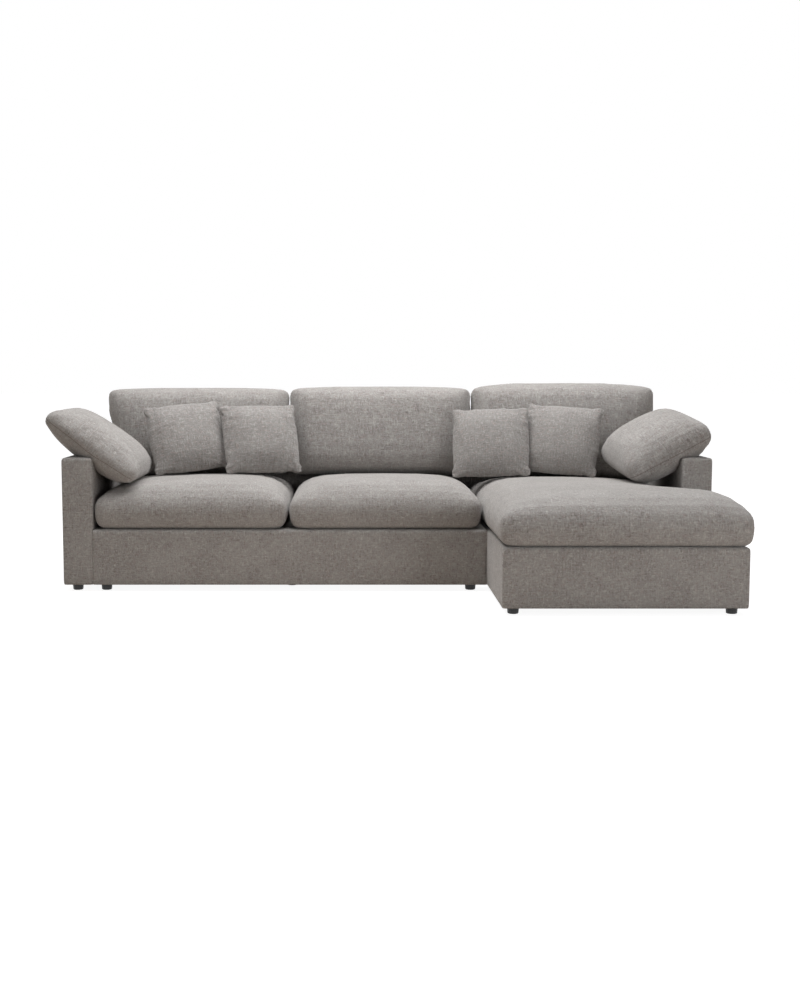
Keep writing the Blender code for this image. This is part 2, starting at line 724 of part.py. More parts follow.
def surface(obj):
    """Sample points over the object's evaluated triangles, in world space, and a tree of the triangles."""
    bpy.context.view_layer.update()
    evaluated = obj.evaluated_get(bpy.context.evaluated_depsgraph_get())
    mesh = evaluated.to_mesh()
    mesh.calc_loop_triangles()
    corners = [evaluated.matrix_world @ vert.co for vert in mesh.vertices]
    triangles = [tuple(triangle.vertices) for triangle in mesh.loop_triangles]
    evaluated.to_mesh_clear()
    sides = {tuple(sorted((tri[i], tri[i - 1]))) for tri in triangles for i in range(3)}
    points = list(corners)
    for start, end in sides:
        points += [corners[start].lerp(corners[end], share) for share in (0.25, 0.5, 0.75)]
    return points, BVHTree.FromPolygons(corners, triangles)


def room_to_move(obj, neighbours, direction):
    """How far the object can go along the direction before it meets one of its neighbours."""
    own_points, own_tree = surface(obj)
    least = LOOK_AHEAD
    for neighbour in neighbours:
        points, tree = surface(neighbour)
        for starts, target, way in ((own_points, tree, direction), (points, own_tree, -direction)):
            for start in starts:
                distance = target.ray_cast(start, way, least)[3]
                if distance is not None:
                    least = min(least, distance)
    return least


def settle(obj, below, behind=(), ease=0, rest=CUSHION_REST):
    """Lets the object down onto what is below it and back against what is behind it.

    Each round draws it forward a shorter way first, so that it comes to rest against both.
    """
    retreat = RETREAT
    for _ in range(SETTLING_ROUNDS if behind else 1):
        if behind:
            obj.location -= BACKWARD * retreat
            retreat *= RETREAT_SHARE
        drop = min(room_to_move(obj, below, DOWN) - rest, room_to_move(obj, behind, DOWN))
        obj.location += DOWN * drop
        if behind:
            obj.location += BACKWARD * (room_to_move(obj, behind, BACKWARD) - ease)


def arm_block(name, low, high):
    """The arm's outside with a clearance, round which the cushions against it are pressed."""
    grown = Vector((ARM_DENT,) * 3)
    low, high = Vector((low, FRONT, FOOT_HEIGHT)), Vector((high, BACK, PANEL_TOP))
    return as_cutter(box(name, low - grown, high + grown, UPHOLSTERY, CUTTERS))


def press_round(obj, block):
    dent = obj.modifiers.new("dent", "BOOLEAN")
    dent.object = block


DOWN = Vector((0, 0, -1))
BACKWARD = Vector((0, 1, 0))


def upright(centre, lean, turn=0, roll=0):
    """Stands a cushion that was made flat on its edge, leaning back, then turned about the vertical."""
    return (
        Matrix.Translation(centre)
        @ Matrix.Rotation(turn, 4, "Z")
        @ Matrix.Rotation(radians(90) - lean, 4, "X")
        @ Matrix.Rotation(roll, 4, "Z")
    )


def place(obj, matrix):
    """Puts the object at the matrix, keeping its location free for settling."""
    obj.rotation_mode = "QUATERNION"
    obj.matrix_world = matrix


CHAISE_CUSHION_LEFT = CHAISE_LEFT - CHAISE_NOSE
SEAT_WIDTH = (CHAISE_CUSHION_LEFT - INNER_LEFT) / 2
SEAT_REAR = INNER_BACK - CUSHION_GAP
SEAT_BOTTOM = PLATFORM_TOP + TOUCH


def seat_cushion(name, start, left_shoulder):
    low = (start + CUSHION_GAP, FRONT - SEAT_NOSE)
    high = (start + SEAT_WIDTH - CUSHION_GAP / 2, SEAT_REAR)
    shoulders = (left_shoulder, SEAT_SHOULDER, SEAT_FRONT_SHOULDER, SEAT_REAR_SHOULDER)
    obj = cushion(
        name,
        low,
        high,
        SEAT_THICKNESS,
        SEAT_SEAM_SHARE,
        SEAT_FACE_SHARES,
        shoulders,
        bulge=SEAT_BULGE,
        widest=SEAT_WIDEST_SHARE,
        crowding=BOXY_CROWDING,
    )
    obj.location.z = SEAT_BOTTOM
    return obj


def chaise_cushion():
    """The long seat cushion, which widens ahead of the right arm as its platform does."""
    low = (CHAISE_CUSHION_LEFT + CUSHION_GAP, CHAISE_FRONT - CHAISE_NOSE)
    high = (RIGHT + CHAISE_NOSE, SEAT_REAR)
    notch = (INNER_RIGHT - CUSHION_GAP, FRONT - CUSHION_GAP)
    x_lines = crowded_lines(low[0], notch[0], crowding=BOXY_CROWDING) + [high[0] - CHAISE_SIDE_CELL, high[0]]
    y_lines = crowded_lines(low[1], notch[1], 4, BOXY_CROWDING)[:-1]
    y_lines += crowded_lines(notch[1], high[1], 3, BOXY_CROWDING)
    shoulders = (SEAT_SHOULDER, CHAISE_SIDE_SHOULDER, SEAT_FRONT_SHOULDER, SEAT_REAR_SHOULDER)
    obj = cushion(
        "chaise_cushion",
        low,
        high,
        SEAT_THICKNESS,
        SEAT_SEAM_SHARE,
        SEAT_FACE_SHARES,
        shoulders,
        bulge=SEAT_BULGE,
        widest=SEAT_WIDEST_SHARE,
        lines=(x_lines, y_lines),
        notch=notch,
    )
    obj.location.z = SEAT_BOTTOM
    return obj


def back_cushion(name, left, right, height, crest, spread, below, behind):
    """A loose back cushion that stands on the seat and leans on the back panel.

    Its sides reach over the arms by the spread, left and right, above its middle.
    """
    half_width = (right - left) / 2
    low = (-half_width - spread[0], -height / 2)
    high = (half_width + spread[1], height / 2)
    shoulders = (BACK_SHOULDER,) * 4
    obj = cushion(
        name,
        low,
        high,
        BACK_THICKNESS,
        BACK_SEAM_SHARE,
        BACK_FACE_SHARES,
        shoulders,
        bulge=BACK_BULGE,
        crest=crest,
        spread=spread,
        crowding=BOXY_CROWDING,
    )
    start = ((left + right) / 2, INNER_BACK - 2 * BACK_THICKNESS, PANEL_TOP + height)
    place(obj, upright(start, BACK_LEAN))
    settle(obj, below, behind, CUSHION_REST, BACK_REST)
    return obj


def bolster(name, x, length, thickness, tip_shoulder, lean, tip, below, block):
    """A boxed arm cushion that leans over the arm, with its foot on the seat."""
    half_length, half_width = length / 2, BOLSTER_WIDTH / 2
    centre = (x, FRONT + half_width, PANEL_TOP + length)
    low, high = (-half_length, -half_width), (half_length, half_width)
    ends = (tip_shoulder, BOLSTER_FOOT_SHOULDER)
    shoulders = (ends if lean > 0 else ends[::-1]) + (BOLSTER_SHOULDER,) * 2
    obj = cushion(
        name,
        low,
        high,
        thickness,
        BOLSTER_SEAM_SHARE,
        EVEN_FACE_SHARES,
        shoulders,
        bulge=BOLSTER_BULGE,
    )
    place(
        obj,
        Matrix.Translation(centre)
        @ Matrix.Rotation(lean, 4, "Y")
        @ Matrix.Rotation(tip, 4, "X")
        @ Matrix.Translation((0, 0, -thickness / 2)),
    )
    settle(obj, below)
    press_round(obj, block)
    return obj


def throw_pillow(name, x, turn, roll, below, behind):
    """A knife-edged pillow with pinched corners that leans on the back cushions."""
    half = PILLOW_SIDE / 2
    shoulders = (half,) * 4
    obj = cushion(
        name,
        (-half, -half),
        (half, half),
        PILLOW_THICKNESS,
        PILLOW_EDGE / PILLOW_THICKNESS,
        EVEN_FACE_SHARES,
        shoulders,
        power=PILLOW_POWER,
        pinch=PILLOW_PINCH,
        ear=PILLOW_EAR,
    )
    start = (x, INNER_BACK - BACK_THICKNESS - half, PANEL_TOP + half)
    centred = Matrix.Translation((0, 0, -PILLOW_THICKNESS / 2))
    place(obj, upright(start, PILLOW_LEAN, turn, roll) @ centred)
    settle(obj, below, behind, LEAN_EASE)
    return obj


arm("left", LEFT, INNER_LEFT)
arm("right", RIGHT, INNER_RIGHT)
backs = [
    back_panel("seat_back", INNER_LEFT + TOUCH, CHAISE_LEFT - TOUCH, bays=6),
    back_panel("chaise_back", CHAISE_LEFT, INNER_RIGHT - TOUCH, bays=3),
]
seat_platform()
chaise_platform()
joining_plate("joining_plate_front", FRONT + PLATE_INSET)
joining_plate("joining_plate_rear", INNER_BACK - PLATE_INSET)

left_block = arm_block("left_arm_block", LEFT, INNER_LEFT)
right_block = arm_block("right_arm_block", INNER_RIGHT, RIGHT)

left_seat = seat_cushion("seat_cushion_left", INNER_LEFT, SEAT_LOADED_SHOULDER)
centre_seat = seat_cushion("seat_cushion_centre", INNER_LEFT + SEAT_WIDTH, SEAT_SHOULDER)
long_seat = chaise_cushion()
press_round(long_seat, right_block)
seats = [left_seat, centre_seat, long_seat]

LEFT_BACK_JOINT = INNER_LEFT + SEAT_WIDTH - LEFT_JOINT_SHIFT
RIGHT_BACK_JOINT = CHAISE_CUSHION_LEFT + RIGHT_JOINT_SHIFT
BACK_JOINTS = (INNER_LEFT, LEFT_BACK_JOINT, RIGHT_BACK_JOINT, INNER_RIGHT)
BACK_SPREADS = ((LEFT_BACK_FLARE, 0), (0, 0), (0, RIGHT_BACK_FLARE))
back_cushions = [
    back_cushion(name, left + CUSHION_GAP, right - CUSHION_GAP, height, crest, spread, seats, backs)
    for name, left, right, height, crest, spread in zip(
        ("back_cushion_left", "back_cushion_centre", "back_cushion_right"),
        BACK_JOINTS,
        BACK_JOINTS[1:],
        (LEFT_BACK_HEIGHT, CENTRE_BACK_HEIGHT, RIGHT_BACK_HEIGHT),
        (LEFT_BACK_CREST, CENTRE_BACK_CREST, RIGHT_BACK_CREST),
        BACK_SPREADS,
    )
]
press_round(back_cushions[0], left_block)
press_round(back_cushions[-1], right_block)

left_bolster = bolster(
    "arm_bolster_left",
    INNER_LEFT - LEFT_BOLSTER_SHIFT,
    LEFT_BOLSTER_LENGTH,
    LEFT_BOLSTER_THICKNESS,
    LEFT_BOLSTER_TIP_SHOULDER,
    LEFT_BOLSTER_LEAN,
    0,
    seats,
    left_block,
)
right_bolster = bolster(
    "arm_bolster_right",
    INNER_RIGHT - RIGHT_BOLSTER_SHIFT,
    RIGHT_BOLSTER_LENGTH,
    RIGHT_BOLSTER_THICKNESS,
    RIGHT_BOLSTER_TIP_SHOULDER,
    -RIGHT_BOLSTER_LEAN,
    RIGHT_BOLSTER_TIP,
    seats,
    right_block,
)

# Each throw pillow: its back cushion, its place across that, how far it faces right and how far it is tilted
# counter-clockwise. The two outer ones stand first, and each inner one stands against its neighbour.
PILLOW_PLACE_SHARES = (
    ("throw_pillow_far_left", 0, 0.427, radians(15), radians(6)),
    ("throw_pillow_left", 0, 0.848, radians(15), 0),
    ("throw_pillow_far_right", 2, 0.475, radians(-13), radians(-4)),
    ("throw_pillow_right", 2, 0.082, radians(-8), radians(2)),
)
standing = list(back_cushions)
for name, number, share, turn, roll in PILLOW_PLACE_SHARES:
    start, end = BACK_JOINTS[number : number + 2]
    standing.append(throw_pillow(name, start + share * (end - start), turn, roll, seats, standing))
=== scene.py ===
from math import ceil, copysign, exp, radians

import bmesh
import bpy
from mathutils import Matrix, Vector, noise
from mathutils.bvhtree import BVHTree


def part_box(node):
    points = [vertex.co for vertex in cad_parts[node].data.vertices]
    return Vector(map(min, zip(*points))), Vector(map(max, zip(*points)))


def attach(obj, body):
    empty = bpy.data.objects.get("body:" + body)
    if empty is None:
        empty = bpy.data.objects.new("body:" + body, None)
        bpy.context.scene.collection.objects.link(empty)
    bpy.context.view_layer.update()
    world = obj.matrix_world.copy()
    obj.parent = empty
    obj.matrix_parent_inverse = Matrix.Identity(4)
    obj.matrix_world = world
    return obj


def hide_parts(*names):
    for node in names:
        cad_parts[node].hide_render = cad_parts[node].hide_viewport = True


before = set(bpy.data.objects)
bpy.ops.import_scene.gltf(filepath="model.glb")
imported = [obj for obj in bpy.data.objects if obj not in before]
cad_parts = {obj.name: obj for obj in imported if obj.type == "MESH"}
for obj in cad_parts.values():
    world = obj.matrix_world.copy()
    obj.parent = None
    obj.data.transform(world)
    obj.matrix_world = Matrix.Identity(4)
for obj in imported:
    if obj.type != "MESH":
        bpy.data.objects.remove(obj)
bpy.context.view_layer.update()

# The picture is taken from in front of the left seats, a little above the cushions and looking slightly down.
# The camera stays level and its lens is shifted, so that the sofa stands left of the lens's middle.
EYE = (-0.127, -5.98, 0.97)
LOOKS_DOWN = radians(5.49)
LENS = 46.8
LENS_SHIFT = 0.0484
camera = bpy.data.objects.new("camera", bpy.data.cameras.new("camera"))
bpy.context.collection.objects.link(camera)
camera.location = EYE
camera.rotation_euler = (radians(90) - LOOKS_DOWN, 0, 0)
camera.data.lens = LENS
camera.data.shift_x = LENS_SHIFT
bpy.context.scene.camera = camera

# The studio has a pale floor without an end and a broad soft light above the sofa. Two lesser ones stand on
# its left and low before its chaise. The camera and mirrors see the floor and walls white, and the floor
# keeps the sofa's soft shadow.
FLOOR_REACH = 60
FLOOR_BOUNCE = (0.52, 0.45, 0.39, 1)
FLOOR_SHADE = (0.42, 0.42, 0.42, 1)
FLOOR_GLOW = 0.92
GLOW_RISE = (2.0, 4.0)  # from here to there, out from the sofa, the floor turns fully white
WALL_COLOUR = (1.0, 0.98, 0.96, 1)
WALL_LIGHT = 0.11
SOFTBOXES = (
    ("above", (-0.1, 0.2, 3.4), (4.4, 2.4), 160),
    ("left", (-4.0, -2.8, 1.9), (2.4, 2.4), 12),
    ("front right", (2.4, -3.4, 1.0), (1.6, 1.6), 30),
)
LIGHT_AIM = Vector((0, 0, 0.35))


def seen_directly(tree):
    """One where the camera, a mirror or clear glass sees the surface, and nothing where it lights others."""
    rays = tree.nodes.new("ShaderNodeLightPath")
    total = rays.outputs["Is Camera Ray"]
    for name in ("Is Glossy Ray", "Is Transmission Ray"):
        add = tree.nodes.new("ShaderNodeMath")
        add.operation = "MAXIMUM"
        tree.links.new(total, add.inputs[0])
        tree.links.new(rays.outputs[name], add.inputs[1])
        total = add.outputs[0]
    return total


def material(name, **values):
    """A material with a Principled BSDF whose plain values are set on its own sockets."""
    made = bpy.data.materials.new(name)
    made.use_nodes = True
    shader = made.node_tree.nodes["Principled BSDF"]
    for socket, value in values.items():
        shader.inputs[socket.replace("_", " ")].default_value = value
    return made, made.node_tree, shader


studio_floor = bpy.data.meshes.new("studio_floor")
bm = bmesh.new()
bmesh.ops.create_grid(bm, x_segments=1, y_segments=1, size=FLOOR_REACH)
bm.to_mesh(studio_floor)
bm.free()
floor = bpy.data.objects.new("studio_floor", studio_floor)
bpy.context.collection.objects.link(floor)
paper, tree, bounce = material("studio_paper", Base_Color=FLOOR_BOUNCE, Roughness=0.9)
shade = tree.nodes.new("ShaderNodeBsdfDiffuse")
shade.inputs["Color"].default_value = FLOOR_SHADE
glow = tree.nodes.new("ShaderNodeEmission")
place = tree.nodes.new("ShaderNodeTexCoord")
reach = tree.nodes.new("ShaderNodeVectorMath")
reach.operation = "LENGTH"
tree.links.new(place.outputs["Object"], reach.inputs[0])
rise = tree.nodes.new("ShaderNodeMapRange")
rise.interpolation_type = "SMOOTHSTEP"
for socket, number in zip(("From Min", "From Max", "To Min", "To Max"), (*GLOW_RISE, FLOOR_GLOW, 1.0)):
    rise.inputs[socket].default_value = number
tree.links.new(reach.outputs["Value"], rise.inputs["Value"])
tree.links.new(rise.outputs["Result"], glow.inputs["Color"])
lit = tree.nodes.new("ShaderNodeAddShader")
tree.links.new(shade.outputs[0], lit.inputs[0])
tree.links.new(glow.outputs[0], lit.inputs[1])
choice = tree.nodes.new("ShaderNodeMixShader")
tree.links.new(seen_directly(tree), choice.inputs[0])
tree.links.new(bounce.outputs[0], choice.inputs[1])
tree.links.new(lit.outputs[0], choice.inputs[2])
tree.links.new(choice.outputs[0], tree.nodes["Material Output"].inputs["Surface"])
floor.data.materials.append(paper)

walls = bpy.data.worlds.new("studio_walls")
bpy.context.scene.world = walls
walls.use_nodes = True
tree = walls.node_tree
fill = tree.nodes["Background"]
fill.inputs["Color"].default_value = WALL_COLOUR
fill.inputs["Strength"].default_value = WALL_LIGHT
white = tree.nodes.new("ShaderNodeBackground")
white.inputs["Color"].default_value = (1, 1, 1, 1)
choice = tree.nodes.new("ShaderNodeMixShader")
tree.links.new(seen_directly(tree), choice.inputs[0])
tree.links.new(fill.outputs[0], choice.inputs[1])
tree.links.new(white.outputs[0], choice.inputs[2])
tree.links.new(choice.outputs[0], tree.nodes["World Output"].inputs["Surface"])

for name, place, size, power in SOFTBOXES:
    softbox = bpy.data.lights.new("softbox_" + name, "AREA")
    softbox.shape = "RECTANGLE"
    softbox.size, softbox.size_y = size
    softbox.energy = power
    hung = bpy.data.objects.new(softbox.name, softbox)
    bpy.context.collection.objects.link(hung)
    hung.location = place
    hung.rotation_euler = (LIGHT_AIM - Vector(place)).to_track_quat("-Z", "Y").to_euler()
bpy.context.scene.view_settings.view_transform = "Standard"

# The panels and platforms are framed in planed softwood boards and bars, glued, screwed and stapled.
# The wood shows only where a cushion is taken off or the sofa is turned over, and it keeps its pale grain.
PALE_WOOD = (0.58, 0.41, 0.24, 1)
LATE_WOOD = (0.40, 0.24, 0.12, 1)
RING_SCALE = (1.6, 30, 70)  # per metre, along the board first
FIBRE_SCALE = (14, 700, 700)
RING_RANGE = (0.42, 0.62)
FIBRE_SHARE = 0.35
WOOD_ROUGHNESS = (0.55, 0.8)
WOOD_RELIEF = 0.0004


def shader_group(name, inputs, outputs):
    """A node group for materials, with its named inputs and outputs, and its two end nodes."""
    group = bpy.data.node_groups.new(name, "ShaderNodeTree")
    for label, kind, value in inputs:
        group.interface.new_socket(label, in_out="INPUT", socket_type=kind).default_value = value
    for label, kind in outputs:
        group.interface.new_socket(label, in_out="OUTPUT", socket_type=kind)
    return group, group.nodes.new("NodeGroupInput"), group.nodes.new("NodeGroupOutput")


def noise_field(tree, scale, detail=2, roughness=0.5, cloth=False):
    """Noise with a scale per metre for each direction of the object, or of its cloth before it was sewn."""
    if cloth:
        space = tree.nodes.new("ShaderNodeAttribute")
        space.attribute_name = "cloth"
        place = space.outputs["Vector"]
    else:
        place = tree.nodes.new("ShaderNodeTexCoord").outputs["Object"]
    stretch = tree.nodes.new("ShaderNodeMapping")
    stretch.inputs["Scale"].default_value = scale
    field = tree.nodes.new("ShaderNodeTexNoise")
    field.inputs["Scale"].default_value = 1
    field.inputs["Detail"].default_value = detail
    field.inputs["Roughness"].default_value = roughness
    tree.links.new(place, stretch.inputs["Vector"])
    tree.links.new(stretch.outputs["Vector"], field.inputs["Vector"])
    return field.outputs["Fac"]


def ramp(tree, value, low, high, bottom=0, top=1):
    """The value spread from bottom to top between its low and its high."""
    spread = tree.nodes.new("ShaderNodeMapRange")
    spread.interpolation_type = "SMOOTHSTEP"
    for socket, number in (("From Min", low), ("From Max", high), ("To Min", bottom), ("To Max", top)):
        spread.inputs[socket].default_value = number
    tree.links.new(value, spread.inputs["Value"])
    return spread.outputs["Result"]


def sums(tree, operation, first, second):
    """The two values added, multiplied or compared."""
    node = tree.nodes.new("ShaderNodeMath")
    node.operation = operation
    for socket, value in zip(node.inputs, (first, second)):
        if isinstance(value, (int, float)):
            socket.default_value = value
        else:
            tree.links.new(value, socket)
    return node.outputs[0]


def blended(tree, share, first, second, kind="MIX"):
    """The first colour with a share of the second mixed in."""
    node = tree.nodes.new("ShaderNodeMix")
    node.data_type = "RGBA"
    node.blend_type = kind
    for name, value in (("Factor_Float", share), ("A_Color", first), ("B_Color", second)):
        socket = next(item for item in node.inputs if item.identifier == name)
        if isinstance(value, bpy.types.NodeSocket):
            tree.links.new(value, socket)
        else:
            socket.default_value = value
    return next(item for item in node.outputs if item.identifier == "Result_Color")


def bumped(tree, shader, height, distance, strength=1):
    """Lets the height field raise the shader's surface by up to the distance."""
    bump = tree.nodes.new("ShaderNodeBump")
    bump.inputs["Strength"].default_value = strength
    bump.inputs["Distance"].default_value = distance
    tree.links.new(height, bump.inputs["Height"])
    tree.links.new(bump.outputs["Normal"], shader.inputs["Normal"])


def placed(tree, group, **values):
    """The group placed in a material's tree with the material's own values."""
    node = tree.nodes.new("ShaderNodeGroup")
    node.node_tree = group
    for socket, value in values.items():
        node.inputs[socket.replace("_", " ")].default_value = value
    return node


grain, given, result = shader_group(
    "wood_grain",
    [("Early Wood", "NodeSocketColor", PALE_WOOD), ("Late Wood", "NodeSocketColor", LATE_WOOD)],
    [("Color", "NodeSocketColor"), ("Height", "NodeSocketFloat"), ("Roughness", "NodeSocketFloat")],
)
rings = noise_field(grain, RING_SCALE, 6, 0.65)
fibres = noise_field(grain, FIBRE_SCALE, 3)
figure = ramp(grain, rings, *RING_RANGE)
streaked = blended(grain, figure, given.outputs["Early Wood"], given.outputs["Late Wood"])
fine = ramp(grain, fibres, 0.35, 0.7, 0, FIBRE_SHARE)
grain.links.new(blended(grain, fine, streaked, given.outputs["Late Wood"]), result.inputs["Color"])
grain.links.new(fibres, result.inputs["Height"])
grain.links.new(ramp(grain, fibres, 0.3, 0.7, *WOOD_ROUGHNESS), result.inputs["Roughness"])

softwood, tree, shader = material("planed_softwood", Specular_IOR_Level=0.35)
wood = placed(tree, grain, Early_Wood=PALE_WOOD, Late_Wood=LATE_WOOD)
tree.links.new(wood.outputs["Color"], shader.inputs["Base Color"])
tree.links.new(wood.outputs["Roughness"], shader.inputs["Roughness"])
bumped(tree, shader, wood.outputs["Height"], WOOD_RELIEF)


def refinished(finish, *words):
    """Gives the finish to the solids that have one of the words in their names."""
    for name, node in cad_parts.items():
        if any(word in name for word in words):
            node.data.materials.clear()
            node.data.materials.append(finish)


refinished(softwood, "_frame", "_board", "_batten")

# The seats are sprung with sinuous wire, held at both ends by clip strips on the boards and tied across.
# Spring wire comes oil-tempered: grey steel with a faint blue skin, duller where it was drawn.
WIRE_STEEL = (0.36, 0.37, 0.40, 1)
WIRE_SCALE = (60, 60, 60)  # per metre
WIRE_ROUGHNESS = (0.28, 0.5)
tempered, tree, shader = material("tempered_wire", Base_Color=WIRE_STEEL, Metallic=0.9)
drawn = noise_field(tree, WIRE_SCALE, 4)
tree.links.new(ramp(tree, drawn, 0.3, 0.7, *WIRE_ROUGHNESS), shader.inputs["Roughness"])
refinished(tempered, "_springs")

# Two punched steel plates across the joint of the platforms keep them together. They are zinc plated.
ZINC = (0.60, 0.61, 0.62, 1)
SPANGLE_SCALE = (25, 90, 90)  # per metre
ZINC_ROUGHNESS = (0.25, 0.5)
zinc, tree, shader = material("zinc_plate", Base_Color=ZINC, Metallic=1.0)
spangle = noise_field(tree, SPANGLE_SCALE, 3)
tree.links.new(ramp(tree, spangle, 0.3, 0.7, *ZINC_ROUGHNESS), shader.inputs["Roughness"])
refinished(zinc, "joining_plate")

# Low round feet of black moulded polypropylene are screwed up into the boards. They have a fine spark grain,
# dull and even all over.
FOOT_BLACK = (0.018, 0.018, 0.019, 1)
SPARK_SCALE = (900, 900, 900)  # per metre
FOOT_ROUGHNESS = (0.38, 0.6)
SPARK_RELIEF = 0.0003
moulded, tree, shader = material("moulded_black", Base_Color=FOOT_BLACK, Specular_IOR_Level=0.5)
spark = noise_field(tree, SPARK_SCALE, 2)
tree.links.new(ramp(tree, spark, 0.35, 0.65, *FOOT_ROUGHNESS), shader.inputs["Roughness"])
bumped(tree, shader, spark, SPARK_RELIEF)
refinished(moulded, "_foot_")

# Under each platform a black spunbond cloth is stapled up to keep dust out. It is thin, slightly fuzzy and
# sags a little between its staples.
DUST_BLACK = (0.022, 0.022, 0.023, 1)
DUST_GREY = (0.05, 0.05, 0.052, 1)
FUZZ_SCALE = (260, 260, 260)  # per metre
FUZZ_RELIEF = 0.0004
CLOTH_SPACING = 0.02
CLOTH_THICKNESS = 0.0012
CLOTH_SAG = 0.0008
CLOTH_RIPPLES = 9  # per metre
STAPLED_SHARE = 0.125  # the share of the cloth's width that the staples draw flat on each side
CORNER_TOLERANCE = 0.001


def even_lines(low, high, spacing):
    """Lines from low to high, about the spacing apart."""
    count = max(2, ceil((high - low) / spacing))
    return [low + (high - low) * number / count for number in range(count + 1)]


def cell_lines(low, high, notch, spacing, lines=even_lines):
    """Lines across the width and the depth, about the spacing apart, with one of each on the notch."""
    corner = notch or high
    x_lines = lines(low[0], corner[0], spacing)
    y_lines = lines(low[1], corner[1], spacing)
    if notch:
        x_lines += lines(corner[0], high[0], spacing)[1:]
        y_lines += lines(corner[1], high[1], spacing)[1:]
    return x_lines, y_lines


def flat_sheet(x_lines, y_lines, notch=None):
    """A flat sheet of cells between the lines. The cells beyond both lines of the notch are left out."""
    sheet = bmesh.new()
    columns, rows = len(x_lines) - 1, len(y_lines) - 1
    bmesh.ops.create_grid(sheet, x_segments=columns, y_segments=rows, size=0.5)
    for vert in sheet.verts:
        column, row = round((vert.co.x + 0.5) * columns), round((vert.co.y + 0.5) * rows)
        vert.co = (x_lines[column], y_lines[row], 0)
    if notch:
        centres = {face: face.calc_center_median() for face in sheet.faces}
        cut = [face for face, at in centres.items() if at.x > notch[0] and at.y > notch[1]]
        bmesh.ops.delete(sheet, geom=cut, context="FACES")
    return sheet


def into_scene(name, bm, finish):
    """The mesh as a new object with its finish."""
    mesh = bpy.data.meshes.new(name)
    bm.to_mesh(mesh)
    bm.free()
    mesh.materials.append(finish)
    mesh.shade_smooth()
    obj = bpy.data.objects.new(name, mesh)
    bpy.context.collection.objects.link(obj)
    return obj


def plan_notch(node):
    """The inner corner of a solid that is L-shaped in plan, or nothing for a rectangular one."""
    low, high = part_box(node)
    corners = [vert.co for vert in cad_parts[node].data.vertices]
    x = max(co.x for co in corners if co.y > high.y - CORNER_TOLERANCE)
    y = max(co.y for co in corners if co.x > high.x - CORNER_TOLERANCE)
    whole = x > high.x - 2 * CORNER_TOLERANCE and y > high.y - 2 * CORNER_TOLERANCE
    return None if whole else (x, y)


def stretched_cloth(name, node, finish):
    """A cloth stapled all round in the place of its solid, which sags by a little between its staples."""
    low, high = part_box(node)
    notch = plan_notch(node)
    bm = flat_sheet(*cell_lines(low, high, notch, CLOTH_SPACING), notch)
    middle = (low.z + high.z) / 2
    for vert in bm.verts:
        across = min(vert.co.x - low.x, high.x - vert.co.x) / (high.x - low.x)
        along = min(vert.co.y - low.y, high.y - vert.co.y) / (high.y - low.y)
        slack = min(1, across / STAPLED_SHARE, along / STAPLED_SHARE)
        ripple = noise.noise(vert.co * CLOTH_RIPPLES) * 0.5 + 0.5
        vert.co.z = middle - CLOTH_SAG * slack * ripple
    cut = sum(face.calc_area() for face in bm.faces)
    cloth = into_scene(name, bm, finish)
    thick = cloth.modifiers.new("cloth", "SOLIDIFY")
    thick.thickness = min(high.z - low.z, CLOTH_THICKNESS)
    thick.offset = 0
    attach(cloth, "frame")
    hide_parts(node)
    return cloth


spunbond, tree, shader = material("black_spunbond", Roughness=0.95, Sheen_Weight=0.2)
fuzz = noise_field(tree, FUZZ_SCALE, 4, 0.7)
tree.links.new(blended(tree, ramp(tree, fuzz, 0.4, 0.7), DUST_BLACK, DUST_GREY), shader.inputs["Base Color"])
bumped(tree, shader, fuzz, FUZZ_RELIEF)
for platform in ("seat", "chaise"):
    cloth = stretched_cloth(platform + "_dust_sheet", platform + "_dust_cloth", spunbond)

# A tight grey-brown platform cloth covers the springs under the seat cushions. It is a plain weave of coarse
# yarn, held by the border of the platform's cover, and it lies slack by less than a millimetre.
DECK_YARN = (0.16, 0.15, 0.14, 1)
DECK_LIGHT = (0.25, 0.24, 0.22, 1)
WARP_SCALE = (30, 600, 600)  # per metre
WEFT_SCALE = (600, 30, 600)
YARN_RELIEF = 0.0008
deck_weave, tree, shader = material("platform_cloth", Roughness=0.9, Sheen_Weight=0.15)
yarns = sums(tree, "MAXIMUM", noise_field(tree, WARP_SCALE, 2), noise_field(tree, WEFT_SCALE, 2))
lighter = ramp(tree, yarns, 0.45, 0.7)
tree.links.new(blended(tree, lighter, DECK_YARN, DECK_LIGHT), shader.inputs["Base Color"])
bumped(tree, shader, yarns, YARN_RELIEF)
for platform in ("seat", "chaise"):
    cloth = stretched_cloth(platform + "_deck_sheet", platform + "_deck_cloth", deck_weave)

# Every panel, platform and cushion is covered in one heavy chenille: a grey taupe ground of fine yarns, with
# short pale slubs and darker, slightly pink ones, which run both ways and are set close.
TAUPE = (0.325, 0.309, 0.295, 1)
PALE_SLUB = (0.60, 0.585, 0.565, 1)
DARK_SLUB = (0.17, 0.145, 0.135, 1)
ROSE_SLUB = (0.36, 0.29, 0.27, 1)
SLUBS_ALONG = 36  # per metre
SLUBS_ACROSS = 160
PALE_RANGE = (0.54, 0.72)
PALE_SHARE = 0.44
DARK_RANGE = (0.46, 0.28)
DARK_SHARE = 0.54
ROSE_SCALE = (60, 90, 90)  # per metre
ROSE_RANGE = (0.50, 0.68)
ROSE_SHARE = 0.45
RUB_SCALE = (9, 9, 9)  # the lie of the pile changes this often in a metre
RUB_RANGE = (0.35, 0.65)
RUB_SHARE = 0.12
PILE_SCALE = (850, 850, 850)
PILE_HEIGHT = 0.8
PILE_ROUGHNESS = (0.82, 0.98)
CHENILLE_RELIEF = 0.0012
# Painted shade: along the seams of the bolsters and pillows the chenille darkens towards the dark slub colour,
# for the shade in the seam grooves.
SEAM_PAINTED_SHADE = 0.8
SEAM_START = 0.78
